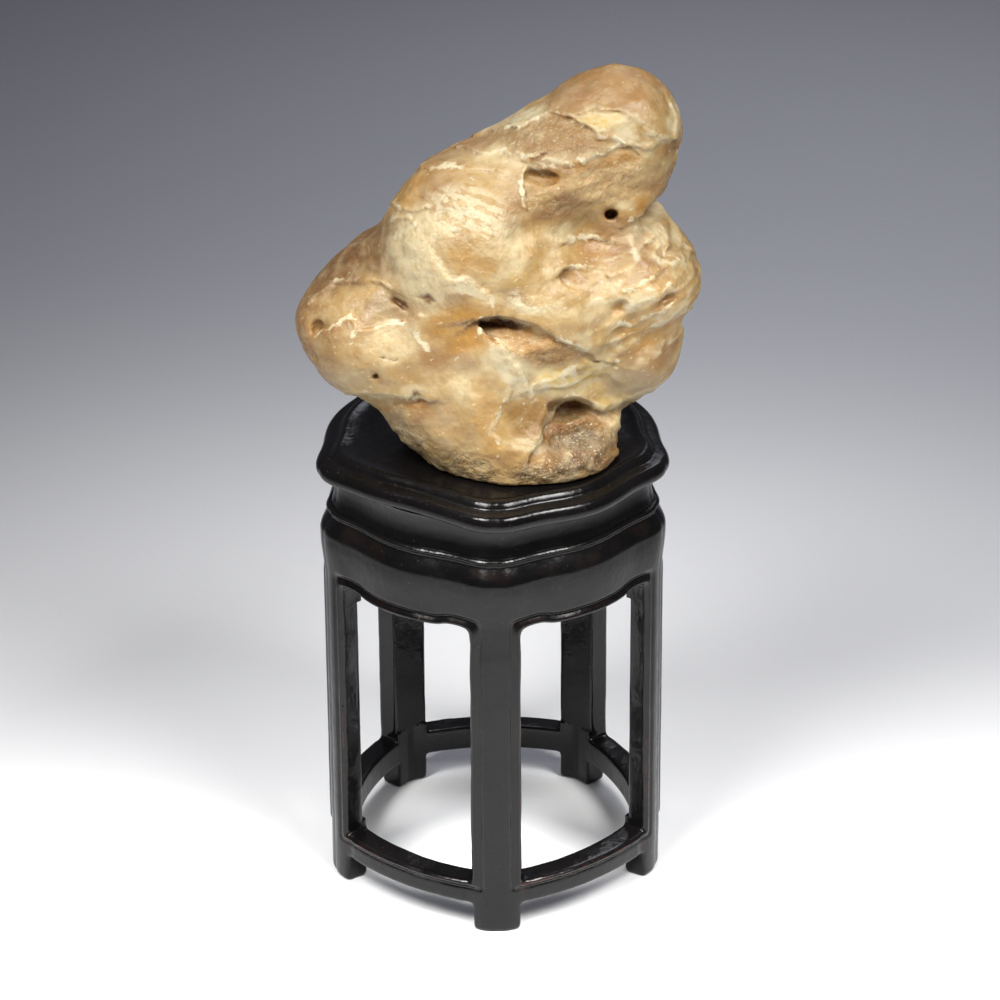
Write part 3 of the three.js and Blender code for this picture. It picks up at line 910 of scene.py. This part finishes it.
def relief(points):
    """How far the stone's fine shape stands out from the carved stone."""
    a, b, depth = on_show_face(points)
    front = front_share(depth)
    wander_a, wander_b = jitter(points)
    edges, _ = edge_relief(a + wander_a, b + wander_b, front)
    torn, _ = torn_skin(points)
    lumps = 0.9 * noise(points, 17.0, 5.5) + 0.55 * noise(points, 8.0, 15.5) + 0.22 * noise(points, 3.9, 25.5)
    grain = grain_amount(a, b, front, points)
    rough = grain * (0.34 * noise(points, 2.3, 35.5) + 0.2 * noise(points, 1.35, 45.5))
    calm = 0.05 * noise(points, 2.1, 55.5)
    return edges - torn * (1 - front) + lumps + rough + calm + FOLD_HEIGHT * folds(points, a, b)


def stone_field(points):
    return smooth_max(carved_stone(points) - relief(points), STONE_LIFT - points[..., 2], 0.25)


def quick_stone(points):
    return np.maximum(carved_stone(points), STONE_LIFT - points[..., 2])


# ---- the stone's colour

# Share of light thrown back by the stone's palest wax, in red, green and blue.
STONE_SHADE = np.array([0.57, 0.54, 0.455])


def linear(color):
    c = np.array(color, float) / 255
    return np.where(c <= 0.04045, c / 12.92, ((c + 0.055) / 1.055) ** 2.4)


def tone(color):
    """A stone colour as it looks in good light, made into the share of light it throws back."""
    return linear(color) * STONE_SHADE


def mix(below, above, share):
    return below + (above - below) * share[:, None]


def paint_stone(points, normals):
    """Colours and masks at the stone's corners."""
    a, b, depth = on_show_face(points)
    front = front_share(depth)
    wander_a, wander_b = jitter(points)
    _, nearest = edge_relief(a + wander_a, b + wander_b, front)
    a, b = a + 1.5 * wander_a, b + 1.5 * wander_b
    # Clouds and veins all round, browner behind.
    cloud = layered_noise(points, 24.0, 3, 61.1)
    color = mix(np.tile(tone(WAX), (len(points), 1)), tone(HONEY), np.clip(0.5 + cloud, 0, 1))
    vein = layered_noise(points * (1, 1, 1.6), 15.0, 3, 81.9)
    color = mix(color, tone(SKIN), np.clip(vein * 2.2 - 0.25, 0, 0.75))
    color = mix(color, tone(MILK), np.clip(-vein * 2.4 - 0.45, 0, 0.8))
    color = mix(color, tone(SKIN), (1 - front) * np.clip(0.35 + 0.6 * cloud, 0, 0.7))
    frost = np.zeros(len(points))
    for _, *patch, wanted, strength in PATCHES:
        share = strength * front * cover(a, b, *patch)
        color = mix(color, tone(wanted), share * (CREAM_PAINT if wanted is CREAM else 1))
        frost = np.maximum(frost * (1 - share), share * FROSTED.get(wanted, 0))
    # The folds' crests are pale, and the ground between them is brown.
    streak = folds(points, a, b)
    frost = np.clip(frost + np.clip(streak - 0.2, 0, 0.5), 0, 1)
    color = mix(color, tone(CREAM), np.clip(streak * 1.3 - 0.45, 0, 0.5))
    color = mix(color, tone(SKIN), np.clip(-streak * 0.9 - 0.2, 0, 0.3))
    # Painted shade: hollows are darkened to ochre, and to rust deep inside, the more the surface round them
    # closes in.
    hollow_shade = np.clip(1 - carved_stone(points + normals * 3.2) / 3.2, 0, 1)
    color = mix(color, tone(OCHRE), np.clip(hollow_shade * 1.4 - 0.6, 0, 0.5))
    color = mix(color, tone(RUST), np.clip(hollow_shade * 2.2 - 1.6, 0, 0.85))
    _, torn_edge = torn_skin(points)
    gaps = 2.4 * np.clip(noise(points, 5.2, 33.1) - 0.05, 0, 1)
    nearest = np.minimum(nearest + gaps, torn_edge + 0.5 + 9.0 * front)
    # Crests that stand out are painted paler: partly the stone's own pale edges, partly a painted highlight.
    pale_crest_and_highlight = np.clip((stone_field(points + normals * 0.9) - 0.9) * 2.5, -1, 1)
    grain = grain_amount(a, b, front, points)
    return color, {"edge": nearest, "grain": grain, "pale_crest_and_highlight": pale_crest_and_highlight, "frost": frost}


# ---- materials


def add_node(tree, kind, inputs=None, **settings):
    """A shader node. Inputs are values, or sockets to link."""
    made = tree.nodes.new(kind)
    for name, value in settings.items():
        setattr(made, name, value)
    for name, value in (inputs or {}).items():
        if isinstance(value, bpy.types.NodeSocket):
            tree.links.new(value, made.inputs[name])
        else:
            made.inputs[name].default_value = value
    return made


def new_material(name, fixed):
    """A material, its nodes and its shader, with the shader's fixed values set on it."""
    material = bpy.data.materials.new(name)
    material.use_nodes = True
    tree = material.node_tree
    shader = tree.nodes["Principled BSDF"]
    for socket, value in fixed.items():
        shader.inputs[socket].default_value = value
    return material, tree, shader


def ramp(tree, value, low, high):
    """Rises smoothly from 0 to 1 as a value goes from low to high."""
    inputs = {"Value": value, "From Min": low, "From Max": high}
    return add_node(tree, "ShaderNodeMapRange", inputs, interpolation_type="SMOOTHSTEP").outputs["Result"]


def speckle(tree, scale, low, high, detail, stretch=(1, 1, 1), slope=0):
    """0 to 1 from noise: 0 below low, 1 above high. The scale is in bumps a metre. A slope turns
    the noise about the front-to-back axis, in degrees: streaks then fall to the right."""
    place = add_node(tree, "ShaderNodeTexCoord").outputs["Object"]
    if slope:
        turned_place = {"Vector": place, "Angle": math.radians(-slope)}
        place = add_node(tree, "ShaderNodeVectorRotate", turned_place, rotation_type="Y_AXIS").outputs[0]
    if stretch != (1, 1, 1):
        stretched = add_node(tree, "ShaderNodeVectorMath", {0: place, 1: stretch}, operation="MULTIPLY")
        place = stretched.outputs[0]
    cloud = add_node(tree, "ShaderNodeTexNoise", {"Vector": place, "Scale": scale, "Detail": detail})
    return ramp(tree, cloud.outputs["Fac"], low, high)


def math_node(tree, operation, a, b, c=0.0, clamp=False):
    made = add_node(tree, "ShaderNodeMath", {0: a, 1: b, 2: c}, operation=operation, use_clamp=clamp)
    return made.outputs[0]


def blend_color(tree, share, below, above):
    """A colour blend. A mixing node's colour sockets are known by number only."""
    return add_node(tree, "ShaderNodeMix", {0: share, 6: below, 7: above}, data_type="RGBA").outputs[2]


def shade(color):
    return (*linear(color), 1.0)


def read(tree, name, output="Fac"):
    """A value that the piece's corners carry."""
    return add_node(tree, "ShaderNodeAttribute", attribute_name=name).outputs[output]


def times(tree, a, b):
    return math_node(tree, "MULTIPLY", a, b)


def add_bumps(tree, shader, *layers):
    """Bumps, each laid over the one before: where they rise, how strongly, and how far in metres."""
    below = {}
    for height, strength, distance in layers:
        inputs = {"Height": height, "Strength": strength, "Distance": distance, **below}
        below = {"Normal": add_node(tree, "ShaderNodeBump", inputs).outputs["Normal"]}
    tree.links.new(below["Normal"], shader.inputs["Normal"])


def stone_color(tree, grain):
    """Painted patches, mottled, with frosted strokes; pale broken edges and paler crests, both partly painted
    highlights; white flecks, partly painted glints; and painted glints on the grains.
    """

    def cover_with(share, below, color):
        return blend_color(tree, share, below, (*tone(color), 1.0))

    color = cover_with(times(tree, speckle(tree, 420, 0.3, 0.7, 4), 0.32), read(tree, "paint", "Color"), SKIN)
    color = cover_with(times(tree, speckle(tree, 150, 0.42, 0.75, 3, (1, 1, 1.8)), 0.28), color, MILK)
    strokes = speckle(tree, 430, 0.44, 0.52, 6, (0.4, 1, 1.0), 32)
    color = cover_with(times(tree, strokes, times(tree, read(tree, "frost"), 0.95)), color, FROST)
    # Pale broken edges along the lips: the stone's own whitening there, and a painted highlight where the
    # edges catch the light.
    ragged = math_node(tree, "MULTIPLY_ADD", speckle(tree, 520, 0.3, 0.7, 4), 1.3, -0.5)
    ragged = math_node(tree, "ADD", read(tree, "edge"), ragged)
    line = ramp(tree, ragged, 1.05, 0.45)
    broken = math_node(tree, "MULTIPLY_ADD", speckle(tree, 110, 0.38, 0.58, 2), 0.75, 0.2)
    color = cover_with(times(tree, line, broken), color, FROST)
    # Painted highlight, with the stone's own paleness: cream on the crests.
    pale_crest_and_highlight = math_node(tree, "MULTIPLY", read(tree, "pale_crest_and_highlight"), 0.4, clamp=True)
    color = cover_with(pale_crest_and_highlight, color, CREAM)
    # White flecks in the stone, which also stand for small painted glints.
    flecks_and_glints = times(tree, speckle(tree, 760, 0.66, 0.73, 2, (0.5, 1, 1), -15), 0.55)
    color = cover_with(flecks_and_glints, color, FROST)
    # Painted glints: white specks where the grains catch the light, most on grainy ground.
    painted_glint_share = math_node(tree, "MULTIPLY_ADD", grain, 0.4, 0.06)
    color = cover_with(times(tree, speckle(tree, 1500, 0.6, 0.74, 1), painted_glint_share), color, FROST)
    grime = times(tree, speckle(tree, 620, 0.56, 0.72, 3), times(tree, grain, 0.45))
    return cover_with(grime, color, DARK_SKIN)


def wax_stone():
    """Waxy, slightly translucent stone, rougher where it is grainy."""
    fixed = {"Subsurface Weight": 0.3, "Subsurface Radius": (1.0, 0.55, 0.25), "Subsurface Scale": 0.004,
             "Specular IOR Level": 0.4, "IOR": 1.54}
    material, tree, shader = new_material("wax_stone", fixed)
    grain = read(tree, "grain")
    tree.links.new(stone_color(tree, grain), shader.inputs["Base Color"])
    rough = math_node(tree, "MULTIPLY_ADD", speckle(tree, 300, 0.3, 0.7, 3), 0.2, 0.34)
    tree.links.new(math_node(tree, "MULTIPLY_ADD", grain, 0.16, rough), shader.inputs["Roughness"])
    depth = math_node(tree, "MULTIPLY_ADD", grain, 1.0, 0.3)
    add_bumps(tree, shader, (times(tree, speckle(tree, 850, 0.2, 0.8, 4), depth), 0.5, 0.0006),
              (speckle(tree, 260, 0.2, 0.8, 3), 0.3, 0.0008))
    return material


def lacquer(name, dark, worn, wear_share):
    """Near-black lacquer on hardwood, with dust in its pores, brown where edges are rubbed."""
    material, tree, shader = new_material(name, {"Specular IOR Level": 0.29})
    cloud = speckle(tree, 45, 0.35, 0.7, 3)
    color = blend_color(tree, cloud, shade(dark), shade([c * 1.5 + 2 for c in dark]))
    dust = times(tree, speckle(tree, 1100, 0.66, 0.78, 2), 0.22)
    color = blend_color(tree, dust, color, shade((96, 84, 74)))
    blotches = times(tree, speckle(tree, 160, 0.45, 0.65, 3), wear_share)
    rubbed = times(tree, read(tree, "wear"), blotches)
    color = blend_color(tree, rubbed, color, shade(worn))
    tree.links.new(color, shader.inputs["Base Color"])
    rough = math_node(tree, "MULTIPLY_ADD", speckle(tree, 240, 0.3, 0.7, 4), 0.1, 0.15)
    tree.links.new(rough, shader.inputs["Roughness"])
    pores = speckle(tree, 260, 0.35, 0.75, 3, (1, 1, 0.12))
    add_bumps(tree, shader, (pores, 0.1, 0.0004), (speckle(tree, 520, 0.2, 0.8, 3), 0.1, 0.0004))
    return material


def floor_paint():
    return new_material("floor_paint", {"Base Color": (0.84, 0.85, 0.86, 1), "Roughness": 0.55})[0]


# ---- making everything


def show(piece, material, node):
    piece.data.materials.clear()
    piece.data.materials.append(material)
    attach(piece, "root")
    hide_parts(node)


def scholars_rock():
    low, high = (-62, -46, -1), (62, 40, 112)
    points, quads = surface_of(stone_field, low, high, STONE_STEP, quick_stone)
    normals = gradient(stone_field, points, 0.25)
    normals /= np.linalg.norm(normals, axis=-1, keepdims=True)
    color, masks = paint_stone(points, normals)
    stone = mesh_object("scholars_rock_stone", points + STONE_ORIGIN, quads.tolist())
    mesh = stone.data
    rgba = np.concatenate([color, np.ones((len(color), 1))], 1)
    mesh.attributes.new("paint", "FLOAT_COLOR", "POINT").data.foreach_set("color", rgba.ravel())
    for name, values in masks.items():
        mesh.attributes.new(name, "FLOAT", "POINT").data.foreach_set("value", values)
    return stone


slab_lacquer = lacquer("slab_lacquer", (9, 8, 8), (52, 32, 26), 0.4)
stand_lacquer = lacquer("stand_lacquer", (8, 8, 8), (52, 34, 28), 0.35)
stretcher_lacquer = lacquer("stretcher_lacquer", (10, 9, 9), (88, 48, 38), 0.9)

show(top_slab(), slab_lacquer, "top_slab")
show(waist(), stand_lacquer, "waist")
for number in range(1, LEG_COUNT + 1):
    for name, piece in leg_and_bay(number).items():
        if name.startswith("stretcher"):
            show(piece, stretcher_lacquer, name)
        else:
            show(piece, stand_lacquer, name)
show(scholars_rock(), wax_stone(), "scholars_rock")

# ---- camera, floor, light


def add_camera():
    """A long lens from above the front, aimed at the shoulders and a little to the axis's right."""
    distance, lens_ratio = 1256.3, 4.3678
    aim_height, aim_right = 115.1, 2.144
    (down_cos, down_sin), (round_cos, round_sin) = cos_sin(27.419), cos_sin(0.625)
    roll_cos, roll_sin = cos_sin(-0.397)
    forward = Vector((round_sin * down_cos, round_cos * down_cos, -down_sin))
    right = Vector((round_cos, -round_sin, 0))
    up = right.cross(forward)
    right_rolled = right * roll_cos + up * roll_sin
    up_rolled = up * roll_cos - right * roll_sin
    place = Vector(AXIS) + Vector((0, 0, aim_height)) + right * aim_right - forward * distance
    data = bpy.data.cameras.new("camera")
    data.sensor_width = 36.0
    data.lens = lens_ratio * data.sensor_width
    data.clip_end = 20.0
    camera = add_object("camera", data)
    turn = Matrix((right_rolled, up_rolled, -forward)).transposed()
    camera.matrix_world = Matrix.Translation(place * MM) @ turn.to_4x4()
    bpy.context.scene.camera = camera


def add_light(name, place, target, size, power, spread, color):
    """A soft box, with its size in metres, power in watts and spread in degrees."""
    data = bpy.data.lights.new(name, "AREA")
    data.shape = "RECTANGLE"
    data.size, data.size_y = size
    data.energy = power
    data.spread = math.radians(spread)
    data.color = color
    light = add_object(name, data)
    light.location = place
    light.rotation_euler = (Vector(target) - Vector(place)).to_track_quat("-Z", "Y").to_euler()
    light.visible_camera = False


def add_floor():
    mesh = bpy.data.meshes.new("floor")
    reach = 6.0
    corners = [(x * reach, y * reach, 0) for x, y in ((-1, -1), (1, -1), (1, 1), (-1, 1))]
    mesh.from_pydata(corners, [], [(0, 1, 2, 3)])
    mesh.materials.append(floor_paint())
    add_object("floor", mesh)


add_camera()
add_floor()
# Two soft boxes in front, aimed at the front leg's foot, and a weak cool one on the floor behind.
WARM_WHITE = (1, 0.985, 0.96)
FRONT_AIM = (0, -0.12, 0.04)
add_light("key", (-0.25, -0.34, 0.66), FRONT_AIM, (0.3, 0.3), 0.92, 54, WARM_WHITE)
add_light("fill", (0.28, -0.34, 0.63), FRONT_AIM, (0.3, 0.3), 0.84, 54, WARM_WHITE)
add_light("back", (0.3, 0.9, 0.9), (0.1, 0.3, 0), (0.5, 0.4), 0.42, 60, (0.88, 0.9, 1))
world = bpy.data.worlds.new("studio")
world.use_nodes = True
background = world.node_tree.nodes["Background"]
background.inputs["Color"].default_value = (0.85, 0.84, 1.0, 1)
background.inputs["Strength"].default_value = 0.09
bpy.context.scene.world = world
bpy.context.scene.view_settings.view_transform = "Standard"
